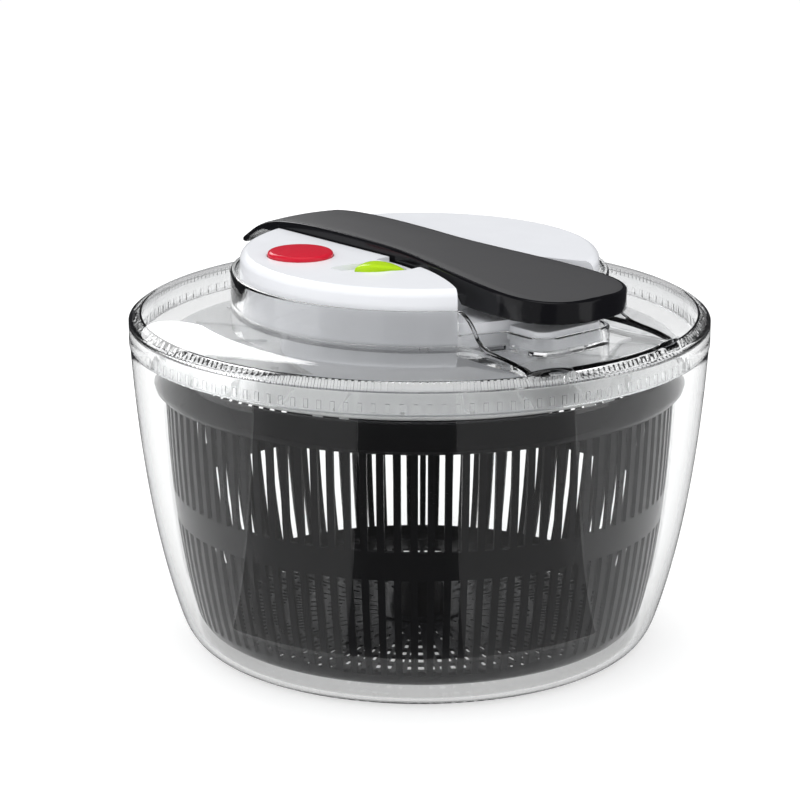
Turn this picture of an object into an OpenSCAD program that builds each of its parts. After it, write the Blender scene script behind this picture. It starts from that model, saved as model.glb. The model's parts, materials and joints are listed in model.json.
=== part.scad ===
// Lever-driven salad spinner.
// Millimetres. Origin: centre of the bowl's flat base. +Z up.
// The lever lies along X: its hinge is at the -X end, its grip at the +X end.

/* [Bowl] */
// Outer radius of the bowl at its rim
bowl_r = 125; // [124.8:0.1:126]
// Height of the bowl's rim above the table
bowl_h = 141.8; // [141:0.1:142]
// Wall thickness of the bowl
bowl_wall = 2.5; // [2:0.1:2.6]
// Thickness of the bowl's floor
bowl_floor = 3; // [2.5:0.1:3.5]

/* [Basket] */
// Height of the basket's mouth above the table
basket_top = 127; // [126:0.1:127.2]
// Wall thickness of the basket
basket_wall = 2; // [1.8:0.1:2.4]
// Slots in each of the two rows
slot_count = 100; // [40:10:100]
// Width of one slot
slot_w = 3.4; // [2.4:0.1:3.6]

/* [Lid] */
// Wall thickness of the clear lid
lid_wall = 2.2; // [1.8:0.1:2.4]
// Radius of the round white cover
cover_r = 77; // [76.5:0.1:77.2]
// Height of the white cover's flat top
cover_top = 171.5; // [171:0.1:172]
// Half width of the nose under the grip
nose_half = 17.8; // [17:0.2:18.6]
// Reach of the nose from the centre
nose_x = 95.3; // [92:0.5:96]

/* [Lever] */
// Distance of the lever's hinge from the centre
pivot_x = 70; // [70:0.1:70.1]
// Height of the lever's hinge
pivot_z = 165; // [165:0.1:165.2]
// Half width of the lever over the cover
lever_half = 18.5; // [17.6:0.1:18.6]
// Half width of the grip
grip_half = 28.6; // [26:0.2:29]
// Reach of the grip from the centre
grip_x = 110; // [106:0.5:112]

/* [Gears] */
// Gear module: pitch diameter over number of teeth
gear_m = 1.25; // [1.25:0.01:1.26]
// Teeth on the sector, counted as if it were a full wheel
sector_t = 72; // [72:1:72]
// Teeth on the lever pinion
pinion_t = 9; // [9:1:9]
// Teeth on the crown wheel
crown_t = 20; // [20:1:20]
// Teeth on the upright pinion
upright_t = 10; // [10:1:10]
// Teeth on the counter wheel
counter_t = 26; // [26:1:26]
// Teeth on the drive gear
drive_t = 20; // [20:1:20]

/* [Controls] */
// Radius of the brake button
button_r = 14; // [12:0.5:14.5]
// Height of the brake button above the cover
button_proud = 2; // [1.5:0.1:2.5]

/* [Hidden] */
$fn = 72;
eps = 0.02;
run_fit = 0.05;      // radial clearance of a running bore
face_gap = 0.3;      // clearance between faces that move past each other

// Lid and cover levels
skirt_bottom = 131.7;
ledge_z = 145;
ledge_top = 147.3;
flange_top = ledge_top + 2;
cover_wall = 2;
cover_round = 3.5;
nose_top = 155.2;
nose_round = 6;
collar_gap = 1.6;
collar_wall = 2.6;
collar_top = 163.6;
nose_collar_top = 153.4;
tub_floor = 130.2;
tub_floor_top = 132.2;
tub_r = 60;
post_r = 69;
post_angles = [40, 90, 140, -40, -90, -140];

// Lever and channel
channel_half = 20.1;
channel_floor = 163.5;
channel_wall = 2;
bay_x = 50;          // the channel steps down here and flares around the grip
bay_floor = 157.2;
lever_bottom = 164;
grip_bottom = 161;
pin_r = 2;

// Gear train: sector, lever pinion, crown wheel, upright pinion, counter wheel, drive gear
mesh_drop = 13;      // degrees below level from the hinge to the lever pinion
sector_r = sector_t * gear_m / 2;
idler_reach = (sector_t + pinion_t) * gear_m / 2;
idler_x = -pivot_x + idler_reach * cos(mesh_drop);
idler_z = pivot_z - idler_reach * sin(mesh_drop);
crown_r = crown_t * gear_m / 2;
upright_r = upright_t * gear_m / 2;
counter_reach = (counter_t + drive_t) * gear_m / 2;
counter_y = sqrt(counter_reach * counter_reach - idler_x * idler_x);
crown_y = counter_y + upright_r;   // pitch plane of the crown wheel
wheel_z = 133.5;                   // underside of the counter wheel and drive gear
wheel_h = 3.5;
small_pin_r = 1.5;
shaft_r = 3;
sleeve_r = 5;        // the bush stands up as a sleeve between the shaft and the drive gear
hub_r = 7;

// Brake
button_x = -23.5;
button_y = -46.7;
brake_travel = 2;
plunger_r = 4;

// Lock slide: it moves along a line in plan that runs from the recess towards the lever
slide_x = 13.4;
slide_y = -40.4;
slide_angle = 51;
recess_len = 15.8;
recess_half = 8;
recess_floor = 169.3;
slide_z = 165.8;
slide_h = 1.8;
knob_s = 5;            // place of the knob's middle along the slide's line
knob_len = 10.6;
knob_half = 5.4;
lock_travel = 4.5;

// ---------- shared shapes ----------

// Point at t on the quadratic curve through a and c, drawn towards b
function curve(a, b, c, t) = (1 - t) * (1 - t) * a + 2 * t * (1 - t) * b + t * t * c;

// Unit normal of that curve, to the left of travel
function curve_normal(a, b, c, t) =
    let (d = (1 - t) * (b - a) + t * (c - b))
    [-d[1], d[0]] / norm(d);

// Points of the curve shifted sideways by off, in n steps
function curve_run(a, b, c, off, n) =
    [for (i = [0:n]) curve(a, b, c, i / n) + off * curve_normal(a, b, c, i / n)];

function reversed(list) = [for (i = [len(list) - 1:-1:0]) list[i]];

module ring(r_out, r_in, z0, z1) {
    translate([0, 0, z0]) difference() {
        cylinder(r = r_out, h = z1 - z0);
        translate([0, 0, -1]) cylinder(r = r_in, h = z1 - z0 + 2);
    }
}

module disc(r, z0, z1) {
    translate([0, 0, z0]) cylinder(r = r, h = z1 - z0);
}

// Round with a nose towards +X whose outer corners are rounded
module keyhole(grow, z0, z1, disc_r = cover_r) {
    half = nose_half + grow;
    reach = nose_x + grow;
    corner = nose_round + grow;
    disc(disc_r + grow, z0, z1);
    translate([0, -half, z0]) cube([reach - corner, 2 * half, z1 - z0]);
    translate([0, corner - half, z0]) cube([reach, 2 * (half - corner), z1 - z0]);
    for (side = [-1, 1])
        translate([reach - corner, side * (half - corner), z0]) cylinder(r = corner, h = z1 - z0);
}

// Screw with a domed head: shank up from z, head below it
module screw_up(z, shank_r, shank_h, head_r, head_h) {
    translate([0, 0, z - head_h]) cylinder(r = head_r, h = head_h);
    translate([0, 0, z - eps]) cylinder(r = shank_r, h = shank_h + eps);
}

// ---------- gears ----------

tooth_thin = 0.16;   // taken off each side of a tooth, for backlash

function involute(base, r) =
    let (a = sqrt(max(0, (r / base) * (r / base) - 1)))
    a * 180 / PI - atan(a);

// Half angle of a tooth at radius r, for n teeth
function tooth_half(n, r) =
    let (pitch = n * gear_m / 2, base = pitch * cos(25))
    90 / n - tooth_thin / pitch * 180 / PI + involute(base, pitch) - involute(base, max(r, base));

function tooth_outline(n, root, tip, steps = 4) =
    let (rs = [for (i = [0:steps]) root + (tip - root) * i / steps])
    concat(
        [for (r = rs) r * [cos(-tooth_half(n, r)), sin(-tooth_half(n, r))]],
        [for (r = reversed(rs)) r * [cos(tooth_half(n, r)), sin(tooth_half(n, r))]]);

// Teeth of a spur gear standing on a root disc; phase turns the first tooth away from +X
module spur(n, h, phase = 0) {
    pitch = n * gear_m / 2;
    root = pitch - 1.15 * gear_m;
    tip = pitch + 0.85 * gear_m;
    cylinder(r = root + eps, h = h);
    for (i = [0:n - 1])
        rotate([0, 0, phase + i * 360 / n])
            linear_extrude(h) polygon(tooth_outline(n, root - 0.3, tip));
}

// Crown teeth point to -Z from z = 0, on a ring of mean radius crown_r
module crown_teeth(band, depth_tip, depth_root) {
    half_root = 1.15;
    half_tip = 0.34;
    for (i = [0:crown_t - 1])
        rotate([0, 0, (i + 0.5) * 360 / crown_t])
            translate([crown_r + band / 2, 0, 0]) rotate([0, -90, 0]) linear_extrude(band)
                polygon([[depth_root, -half_root], [depth_root, half_root],
                    [-depth_tip, half_tip], [-depth_tip, -half_tip]]);
}

// ---------- bowl ----------

module outer_bowl() {
    foot = [92, 0];
    foot_pull = [100.7, 0];
    heel = [105, 13];
    wall_pull = [120, 58];
    shoulder = [bowl_r - 0.4, 131];
    outer = concat(curve_run(foot, foot_pull, heel, 0, 6), curve_run(heel, wall_pull, shoulder, 0, 12));
    inner = concat(curve_run(foot, foot_pull, heel, bowl_wall, 6),
        curve_run(heel, wall_pull, shoulder, bowl_wall, 12));
    color("gainsboro", 0.4) difference() {
        rotate_extrude() polygon(concat([[0, 0]], outer,
            [[bowl_r, 135], [bowl_r, bowl_h], [bowl_r - bowl_wall, bowl_h]],
            reversed([for (p = inner) if (p[1] > bowl_floor + 0.2) p]),
            [[91, bowl_floor], [16, bowl_floor], [13.5, 5], [8, 6.5], [6, 14], [0, 14]]));
        translate([0, 0, 4.5]) cylinder(r = 2.5, h = 12);
    }
}

module pivot_pin() {
    color("silver") {
        disc(2.5, 4.5, 20.6);
        translate([0, 0, 20.6]) intersection() {
            sphere(r = 2.5);
            disc(2.5, 0, 1.4);
        }
    }
}

// ---------- basket ----------

basket_heel = [99, 17];
basket_pull = [108.2, 52];
basket_neck = [110, 112.5];

module basket() {
    foot = [86, 7];
    foot_pull = [96.4, 7];
    outer = concat(curve_run(foot, foot_pull, basket_heel, 0, 5),
        curve_run(basket_heel, basket_pull, basket_neck, 0, 8));
    inner = concat(curve_run(foot, foot_pull, basket_heel, basket_wall, 5),
        curve_run(basket_heel, basket_pull, basket_neck, basket_wall, 8));
    color([0.13, 0.13, 0.14]) difference() {
        rotate_extrude() polygon(concat([[0, 22], [5.2, 22], [5.2, 15], [7.4, 14.6], [9.4, 7], [70, 7]],
            outer, [[112.5, 113.5], [114.4, 115.4], [115, 118], [115, basket_top], [112.6, basket_top],
                [112.6, 118.5], [110.4, 115.5]],
            reversed(inner), [[70, 9], [13, 9], [9, 25], [7, 26.5], [0, 26.5]]));
        basket_slots(14, 57);
        basket_slots(69, 110);
        floor_slots();
    }
    color([0.13, 0.13, 0.14]) for (i = [0:5]) rotate([0, 0, i * 60])
        translate([109.3, -3, 117.5]) cube([3.5, 6, 6]);
}

module basket_slots(z0, z1) {
    for (i = [0:slot_count - 1])
        rotate([0, 0, i * 360 / slot_count])
            translate([90, -slot_w / 2, z0]) cube([30, slot_w, z1 - z0]);
}

module floor_slots() {
    for (i = [0:35]) rotate([0, 0, i * 10]) translate([56, -1.6, 5]) cube([26, 3.2, 6]);
    for (i = [0:17]) rotate([0, 0, i * 20]) translate([22, -1.6, 5]) cube([26, 3.2, 6]);
}

module basket_bush() {
    color("ivory") difference() {
        disc(5.2, 15, 22);
        disc(2.5 + run_fit, 14, 20.6);
        translate([0, 0, 20.6]) intersection() {
            sphere(r = 2.5 + run_fit);
            disc(3, -eps, 1.4);
        }
    }
}

// ---------- driven side: plate, shaft, ratchet ----------

plate_z = 127.3;
plate_top = 129;
track_top = 129.8;   // brake track, hub and ribs stand this high
plate_r = 113;

module drive_plate() {
    color("lightgray", 0.5) {
        rotate_extrude() polygon([[shaft_r, plate_z], [112, plate_z], [plate_r, plate_z + 0.8],
            [plate_r, plate_top], [59, plate_top], [59, track_top], [46, track_top],
            [46, plate_top], [9, plate_top], [8, track_top], [shaft_r, track_top]]);
        for (i = [0:23]) rotate([0, 0, i * 15])
            translate([66, -0.8, plate_top - eps]) cube([38, 1.6, track_top - plate_top + eps]);
        for (i = [0:5], side = [-1, 1]) rotate([0, 0, i * 60 + side * 2.9])
            translate([108, -1.5, 120]) cube([3.4, 3, plate_z - 120 + 0.2]);
    }
}

module output_shaft() {
    color("silver") difference() {
        disc(shaft_r, plate_z, 151.5);
        disc(1.2, plate_z - 1, plate_z + 8);
        ring(shaft_r + 1, shaft_r - 0.5, 149.4, 150.2);
    }
}

module drive_screw() {
    color("silver") {
        disc(1.2, plate_z - eps, plate_z + 6);
        disc(6, plate_z - 1.2, plate_z);
        translate([0, 0, plate_z - 3]) cylinder(r1 = 2, r2 = 3, h = 1.8);
    }
}

module output_bush() {
    color("ivory") difference() {
        union() {
            disc(sleeve_r, tub_floor, 141.4);
            disc(6.5, tub_floor_top, wheel_z - face_gap);
        }
        disc(shaft_r + run_fit, tub_floor - 1, 142);
    }
}

module shaft_clip() {
    color("dimgray") difference() {
        ring(5, shaft_r - 0.5, 149.4, 150.2);
        translate([-1.6, 0, 149]) cube([3.2, 8, 2]);
    }
}

ratchet_t = 16;
cup_top = 144;
cup_r = 14.6;

module ratchet_cup() {
    color("ivory") {
        ring(cup_r, shaft_r, 142, cup_top);
        ring(cup_r, cup_r - 1.4, 137.6, 142 + eps);
        for (i = [0:ratchet_t - 1]) rotate([0, 0, i * 360 / ratchet_t]) translate([cup_r, 0, 138])
            linear_extrude(4 + eps) polygon([[-1, 0], [-2.5, 0], [-1.5, 2.8], [-0.9, 2.8]]);
    }
}

// ---------- driving side: drive gear and pawls ----------

module drive_gear() {
    color("white") difference() {
        translate([0, 0, wheel_z]) {
            spur(drive_t, wheel_h, drive_phase());
            cylinder(r = hub_r, h = 7.5);
        }
        disc(sleeve_r + run_fit, wheel_z - 1, wheel_z + 9);
    }
}

// Phases set a tooth of one wheel against a gap of the next at rest
function counter_phase() = atan2(counter_y, idler_x);
function drive_phase() = counter_phase() + 180 / drive_t;

module clutch_pawls() {
    color("gold") {
        ring(hub_r + 1.5, hub_r + 0.03, 138, 140.8);
        for (side = [0, 180]) rotate([0, 0, side]) {
            translate([0, -8.6, 138]) cube([4.4, 1.5, 2.8]);
            translate([4, -8.6, 138]) rotate([0, 0, 14]) cube([2.2, 1.4, 2.8]);
        }
    }
}

module counter_gear() {
    color("white") translate([idler_x, counter_y, 0]) difference() {
        union() {
            translate([0, 0, wheel_z]) spur(counter_t, wheel_h, counter_phase() + 180);
            disc(5.2, wheel_z, 138);
            translate([0, 0, 137.4]) spur(upright_t, 7.2, 90);
        }
        disc(small_pin_r + run_fit, wheel_z - 1, 150);
    }
}

module counter_pin() {
    color("silver") translate([idler_x, counter_y, 0]) difference() {
        disc(small_pin_r, tub_floor + 0.6, 147.2);
        ring(3, small_pin_r - 0.4, 145.4, 146.1);
    }
}

module counter_clip() {
    color("dimgray") translate([idler_x, counter_y, 0]) difference() {
        ring(3.2, small_pin_r - 0.4, 145.4, 146.1);
        translate([-0.9, 0, 145]) cube([1.8, 5, 2]);
    }
}

module idler_gear() {
    plate_y = crown_y + 1.3;
    color("white") translate([idler_x, 0, idler_z]) difference() {
        union() {
            rotate([90, 0, 0]) translate([0, 0, -4])
                spur(pinion_t, 8, 180 - mesh_drop + 180 / pinion_t);
            rotate([-90, 0, 0]) {
                cylinder(r = 3.4, h = plate_y + 3);
                translate([0, 0, plate_y - 1.2]) cylinder(r = 8.2, h = 2);
                translate([0, 0, plate_y]) cylinder(r = crown_r + 1.5, h = 2.6);
                translate([0, 0, crown_y]) crown_teeth(3, 1.0, 1.4);
            }
        }
        rotate([-90, 0, 0]) translate([0, 0, -10]) cylinder(r = small_pin_r + run_fit, h = 60);
    }
}

module gear_shaft() {
    color("silver") translate([idler_x, -9, idler_z]) rotate([-90, 0, 0]) cylinder(r = small_pin_r, h = 51);
}

module bearing_bridge() {
    color("gray") difference() {
        union() {
            translate([-5, -10, 146]) cube([17, 20, 2.8]);
            translate([3, -21, 146]) cube([9, 42, 2.8]);
        }
        disc(shaft_r + run_fit, 145, 150);
        for (side = [-1, 1]) translate([8, side * 17, 145]) cylinder(r = 1.3, h = 5);
    }
}

module bridge_screws() {
    color("silver") for (side = [-1, 1]) translate([8, side * 17, 0]) {
        disc(1.3, 138.8, 148.8 + eps);
        translate([0, 0, 148.8]) cylinder(r1 = 2.8, r2 = 1.8, h = 1.6);
    }
}

// ---------- housing ----------

module tube_at(x, y, r_out, r_in, z0, z1) {
    translate([x, y, 0]) ring(r_out, r_in, z0, z1);
}

module housing_base() {
    color("whitesmoke") difference() {
        union() {
            ring(tub_r, tub_r - 2, tub_floor, flange_top);
            ring(cover_r - 0.4, tub_r - 1, ledge_top, flange_top);
            disc(tub_r - 1, tub_floor, tub_floor_top);
            disc(8.5, tub_floor, tub_floor_top);
            for (side = [-1, 1]) translate([8, side * 17, 0]) disc(3.6, tub_floor, 146);
            translate([idler_x, counter_y, 0]) disc(4.2, tub_floor, wheel_z - face_gap);
            shaft_bracket(-9, -6);
            shaft_bracket(38.4, 41.6);
            translate([button_x, button_y, 0]) disc(8, tub_floor, 146);
        }
        disc(5, tub_floor - 1, tub_floor_top + 1);
        for (side = [-1, 1]) translate([8, side * 17, 0]) disc(1.3, 138.8, 147);
        translate([idler_x, counter_y, 0]) disc(small_pin_r, tub_floor + 0.6, 140);
        translate([idler_x, -20, idler_z]) rotate([-90, 0, 0]) cylinder(r = small_pin_r, h = 80);
        translate([button_x, button_y, 0]) {
            disc(plunger_r + 0.08, tub_floor - 1, 150);
            disc(5.7, tub_floor - 1, 138);
        }
        for (a = post_angles) rotate([0, 0, a]) translate([post_r, 0, 0]) disc(2, ledge_top - 1, 150);
    }
}

module shaft_bracket(y0, y1) {
    translate([idler_x - 5, y0, tub_floor]) cube([10, y1 - y0, idler_z - tub_floor]);
    translate([idler_x, y0, idler_z]) rotate([-90, 0, 0]) cylinder(r = 5, h = y1 - y0);
}

function arc(cx, cz, r, a0, a1, n) =
    [for (i = [0:n]) let (a = a0 + (a1 - a0) * i / n) [cx + r * cos(a), cz + r * sin(a)]];

module cover_dome(grow = 0) {
    r = cover_r - grow;
    top = cover_top - grow;
    round = cover_round - grow / 2;
    rotate_extrude() polygon(concat([[0, flange_top - (grow > 0 ? 1 : 0)],
        [r, flange_top - (grow > 0 ? 1 : 0)]], arc(r - round, top - round, round, 0, 90, 8), [[0, top]]));
}

module nose_block(grow, z0, z1) {
    difference() {
        keyhole(grow, z0, z1, cover_r - 10);
        translate([-100, -50, z0 - 1]) cube([100 + 60, 100, z1 - z0 + 2]);
    }
}

// Plan of the channel, grown by an offset on both sides
module channel_plan(grow) {
    side = [[-90, channel_half], [8, channel_half], [20, 21.8], [35, 24.6], [49, 29.5], [61, 35],
        [70, 40.5], [95, 40.5]];
    polygon(concat([for (p = side) [p[0], p[1] + grow]],
        [for (p = reversed(side)) [p[0], -p[1] - grow]]));
}

module channel_part(grow, x0, x1, z0, z1) {
    intersection() {
        translate([0, 0, z0]) linear_extrude(z1 - z0) channel_plan(grow);
        translate([x0, -60, z0 - 1]) cube([x1 - x0, 120, z1 - z0 + 2]);
    }
}

module housing_cover() {
    color("white") difference() {
        union() {
            difference() {
                cover_dome();
                cover_dome(cover_wall);
            }
            intersection() {
                cover_dome();
                cover_inside();
            }
            difference() {
                nose_block(0, ledge_top + 0.1, nose_top);
                nose_block(-cover_wall, ledge_top - 1, nose_top - cover_wall);
                disc(cover_r - 1, 140, 180);
                disc(cover_r - 0.2, 140, flange_top);
            }
        }
        channel_cut();
        recess_cut();
        translate([button_x, button_y, 0]) disc(button_r + 0.35, 160, 180);
        lever_axis(pin_r, 23.4);
        for (a = post_angles) rotate([0, 0, a]) translate([post_r, 0, 0]) disc(1.3, flange_top - 1, 160);
        for (side = [-1, 1]) on_slide(-15.5, side * 6, 163) cylinder(r = 0.9, h = 5.4);
    }
}

module lever_axis(r, half) {
    translate([-pivot_x, half, pivot_z]) rotate([90, 0, 0]) cylinder(r = r, h = 2 * half);
}

module cover_inside() {
    channel_part(channel_wall, -80, bay_x, channel_floor - 2, cover_top);
    channel_part(channel_wall, bay_x - 2, 80, bay_floor - 2, cover_top);
    for (side = [-1, 1])
        translate([-76, side > 0 ? channel_half : -channel_half - 5, 158.5]) cube([12, 5, 13]);
    for (a = post_angles) rotate([0, 0, a]) translate([post_r, 0, 0]) disc(3.4, flange_top, 170);
    translate([button_x, button_y, 0]) ring(button_r + 2.2, button_r - 1, 166.5, 170);
    on_slide(-recess_len - 2, -recess_half - 2, recess_floor - 1.4)
        cube([2 * recess_len, 2 * recess_half + 4, 3]);
    for (side = [-1, 1]) on_slide(-15.5, side * 6, 165.4) cylinder(r = 2.4, h = 4.4);
}

module channel_cut() {
    channel_part(0, -90, bay_x + eps, channel_floor, 190);
    channel_part(0, bay_x, 95, bay_floor, 190);
    translate([-66, -4, 150]) cube([44, 8, 20]);
    translate([-90, -channel_half, channel_floor - 4]) cube([27, 2 * channel_half, 20]);
}

// Children placed at s along the slide's line and t across it
module on_slide(s, t, z) {
    translate([slide_x, slide_y, z]) rotate([0, 0, slide_angle]) translate([s, t, 0]) children();
}

module lens(len, half, h) {
    r = (len * len + half * half) / (2 * half);
    intersection() {
        translate([0, r - half, 0]) cylinder(r = r, h = h, $fn = 120);
        translate([0, half - r, 0]) cylinder(r = r, h = h, $fn = 120);
    }
}

module recess_cut() {
    on_slide(0, 0, recess_floor) lens(recess_len, recess_half, 6);
    on_slide(knob_s + lock_travel, 0, recess_floor) lens(knob_len + face_gap, knob_half + face_gap, 6);
    on_slide(knob_s, -knob_half - face_gap, recess_floor)
        cube([lock_travel, 2 * (knob_half + face_gap), 6]);
    translate([3.4, -27.4, recess_floor]) cube([23, 8, 6]);
    on_slide(-9, -2.6, recess_floor - 3) cube([23.5, 5.2, 6]);
    on_slide(10, -4, slide_z - 0.6) cube([24, 8, slide_h + 1.2]);
}

module housing_screws() {
    color("silver") for (a = post_angles) rotate([0, 0, a]) translate([post_r, 0, 0])
        screw_up(ledge_z, 1.3, 14.6, 3, 1.8);
}

// ---------- lid ----------

module lid_shell() {
    rim = [bowl_r - 0.2, 143.2];
    rim_pull = [117, 150.6];
    brow = [80, 149.6];
    outer = curve_run(rim, rim_pull, brow, 0, 10);
    inner = curve_run(rim, rim_pull, brow, lid_wall, 10);
    skirt_r = bowl_r - bowl_wall - 0.4;
    color("gainsboro", 0.4) difference() {
        union() {
            difference() {
                union() {
                    rotate_extrude() polygon(concat([[bowl_r, bowl_h], [bowl_r, 142.8]], outer,
                        reversed([for (p = inner) if (p[0] < skirt_r - lid_wall - 0.3) p]),
                        [[skirt_r - lid_wall, 144.5], [skirt_r - lid_wall, skirt_bottom],
                        [skirt_r - 0.4, skirt_bottom], [skirt_r, skirt_bottom + 1], [skirt_r, bowl_h]]));
                    keyhole(collar_gap + collar_wall, ledge_z, nose_collar_top);
                    disc(cover_r + collar_gap + collar_wall, ledge_z, collar_top);
                }
                pocket_cut();
            }
            pocket_parts();
            for (side = [-1, 1]) rim_tab(side);
            keyhole(collar_gap + collar_wall, ledge_z, nose_collar_top);
        }
        keyhole(collar_gap, ledge_top, 170);
        disc(tub_r + 1, 130, 160);
        translate([40, -11, 130]) cube([44, 22, 30]);
        for (a = post_angles) rotate([0, 0, a]) translate([post_r, 0, 0]) disc(2, ledge_z - 1, 150);
    }
}

pocket_floor = 146;
pocket_half = 39;

module pocket_cut() {
    intersection() {
        translate([68, -pocket_half, pocket_floor]) cube([61, 2 * pocket_half, 24]);
        disc(118.6, 140, 180);
    }
}

module pocket_parts() {
    intersection() {
        translate([66, -pocket_half - 1, pocket_floor - lid_wall])
            cube([56, 2 * pocket_half + 2, lid_wall]);
        disc(119.2, 140, 160);
        difference() {
            disc(130, 140, 160);
            disc(cover_r, 139, 161);
        }
    }
    for (side = [-1, 1]) translate([0, side * (pocket_half + 1), 0]) rotate([90, 0, 0])
        translate([0, 0, -lid_wall / 2]) linear_extrude(lid_wall)
            polygon(concat([[69, pocket_floor - lid_wall], [112, pocket_floor - lid_wall], [112, 147.9]],
                reversed(concat([[69, collar_top]], curve_run([71, collar_top], [76.4, 161.6], [79.5, 156.3], 0, 5),
                    curve_run([79.5, 156.3], [83, 150], [93, 149.9], 0, 6)))));
}

module rim_tab(side) {
    intersection() {
        translate([100, side * 33, 139.5]) rotate([0, 90, 0]) cylinder(r = 10.5, h = 30);
        ring(bowl_r - 0.7, 111, 143, 156);
    }
}

// ---------- lever ----------

grip_full = 85;
grip_round = 80;
pad_inset = 1.2;
pad_depth = 1.4;
shell_side = 2.2;
tail_x = 100.9;
tail_round = 2.5;

function ease(u) = let (v = min(1, max(0, u))) v * v * (3 - 2 * v);

// Half width of the lever at x
function lever_side(x) =
    let (plain = lever_half + (grip_half - lever_half) * ease(x / grip_full),
        u = max(0, (x - grip_round) / (grip_x - grip_round)),
        v = max(0, (tail_round - tail_x - x) / tail_round))
    plain * pow(max(0, 1 - pow(u, 2.6)), 1 / 2.6) - tail_round * (1 - sqrt(max(0, 1 - v * v)));

function lever_stations() = concat([for (i = [0:5]) -tail_x + tail_round * (1 - cos(i * 18))],
    [-40], [for (i = [0:7]) i * 12], [for (i = [1:10]) 84 + (grip_x - 84) * sin(i * 9)]);

// Plan of the lever, drawn in by inset all round
module lever_plan(inset = 0) {
    scale_in = (grip_x + tail_x - 2 * inset) / (grip_x + tail_x);
    mid = (grip_x - tail_x) / 2;
    side = [for (x = lever_stations()) [mid + (x - mid) * scale_in, max(0, lever_side(x) - inset)]];
    polygon(concat(side, reversed([for (p = side) [p[0], -p[1]]])));
}

// Points of the lever's arched top, lowered by drop: the hooked tail, then the long arch
function lever_top(drop) = [for (p = concat(
    curve_run([-tail_x, 161.5], [-89, 174], [-pivot_x, 175.3], 0, 8),
    [for (i = [1:16]) let (t = i / 16, s = 1 - t)
        s * s * s * [-pivot_x, 175.3] + 3 * s * s * t * [-45, 178]
            + 3 * s * t * t * [10, 176.4] + t * t * t * [grip_x, 170.3]])) [p[0], p[1] - drop]];

module side_extrude(half) {
    rotate([90, 0, 0]) translate([0, 0, -half]) linear_extrude(2 * half) children();
}

module lever_blank(inset, drop, low) {
    intersection() {
        translate([0, 0, 140]) linear_extrude(60) lever_plan(inset);
        side_extrude(40) polygon(concat(
            [[-tail_x, 161.2 - low], [-97.6, 160.8 - low], [-94, 164 - low], [-90, 166.6 - low],
            [-85.5, 168.5 - low], [-76.4, 168.5 - low], [-75.5, lever_bottom - low],
            [bay_x + 2, lever_bottom - low], [bay_x + 5, grip_bottom - low], [grip_x + 1, grip_bottom - low]],
            reversed(lever_top(drop))));
    }
}

module handle_body() {
    color([0.08, 0.08, 0.09]) difference() {
        union() {
            difference() {
                lever_blank(0, 0, 0);
                intersection() {
                    lever_blank(shell_side, 3.8, 6);
                    translate([-62, -40, 140]) cube([200, 80, 60]);
                }
                difference() {
                    lever_blank(pad_inset, -8, 0);
                    lever_blank(-5, pad_depth, 20);
                }
            }
            intersection() {
                lever_blank(1, 2, 4);
                for (side = [-1, 1]) translate([-54, side * 5.5, 168]) cylinder(r = 3, h = 10);
            }
            for (side = [-1, 1]) translate([-pivot_x, side * 13.4, pivot_z]) rotate([90, 0, 0])
                translate([0, 0, -4.4]) cylinder(r = 5, h = 8.8);
        }
        lever_axis(pin_r + run_fit, 40);
        translate([-80, -8.6, 150]) cube([19, 17.2, 20.6]);
        translate([-61.5, -8.6, 150]) cube([14, 17.2, 18]);
        for (side = [-1, 1]) translate([-54, side * 5.5, 160]) cylinder(r = 1.1, h = 11);
        translate([20, -24, 165.4]) cube([18, 8.2, 4.4]);
    }
}

module handle_pad() {
    color([0.27, 0.27, 0.28]) difference() {
        intersection() {
            lever_blank(pad_inset + 0.02, 0, 0);
            translate([-tail_x + 16, -40, 150]) cube([300, 80, 60]);
        }
        lever_blank(-5, pad_depth, 20);
    }
}

module sector_gear() {
    root = sector_r - 1.15 * gear_m;
    tip = sector_r + 0.85 * gear_m;
    step = 360 / sector_t;
    color("white") difference() {
        union() {
            translate([-pivot_x, 0, pivot_z]) side_extrude(3) {
                circle(r = 5);
                intersection() {
                    circle(r = root + eps);
                    polygon([[0, 0], [60, -60 * tan(mesh_drop - 8)], [60, -60 * tan(44)], [0, -6]]);
                }
                translate([4, -5]) square([20, 6.5]);
                for (i = [-1:6]) rotate(-mesh_drop - i * step) polygon(tooth_outline(sector_t, root - 0.5, tip));
            }
            translate([-60, -8, 165.7]) cube([12, 16, 2.3]);
        }
        lever_axis(pin_r + run_fit, 20);
        for (side = [-1, 1]) translate([-54, side * 5.5, 160]) cylinder(r = 1.6, h = 11);
        translate([-pivot_x, 0, pivot_z]) side_extrude(9) translate([16, -15]) circle(r = 5);
    }
}

module sector_screws() {
    color("silver") for (side = [-1, 1]) translate([-54, side * 5.5, 0]) screw_up(165.7, 1.1, 5, 2.4, 1.4);
}

module lever_pin() {
    color("silver") lever_axis(pin_r, 23.4);
}

// Wire of radius wire_r wound to coil_r: turns over height h, starting at z = 0
module coil(coil_r, wire_r, turns, h, per_turn = 14, sides = 6) {
    n = round(turns * per_turn);
    points = [for (i = [0:n], k = [0:sides - 1])
        let (a = i * 360 / per_turn, b = k * 360 / sides, r = coil_r + wire_r * cos(b))
        [r * cos(a), r * sin(a), wire_r + (h - 2 * wire_r) * i / n + wire_r * sin(b)]];
    walls = [for (i = [0:n - 1], k = [0:sides - 1])
        let (k2 = (k + 1) % sides)
        [i * sides + k, (i + 1) * sides + k, (i + 1) * sides + k2, i * sides + k2]];
    polyhedron(points, concat(walls, [[for (k = [0:sides - 1]) k],
        [for (k = [sides - 1:-1:0]) n * sides + k]]));
}

module lever_spring() {
    color("silver") translate([-pivot_x, 8.2, pivot_z]) rotate([90, 0, 0]) coil(3.2, 0.45, 4, 4.8);
}

// ---------- brake ----------

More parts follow.
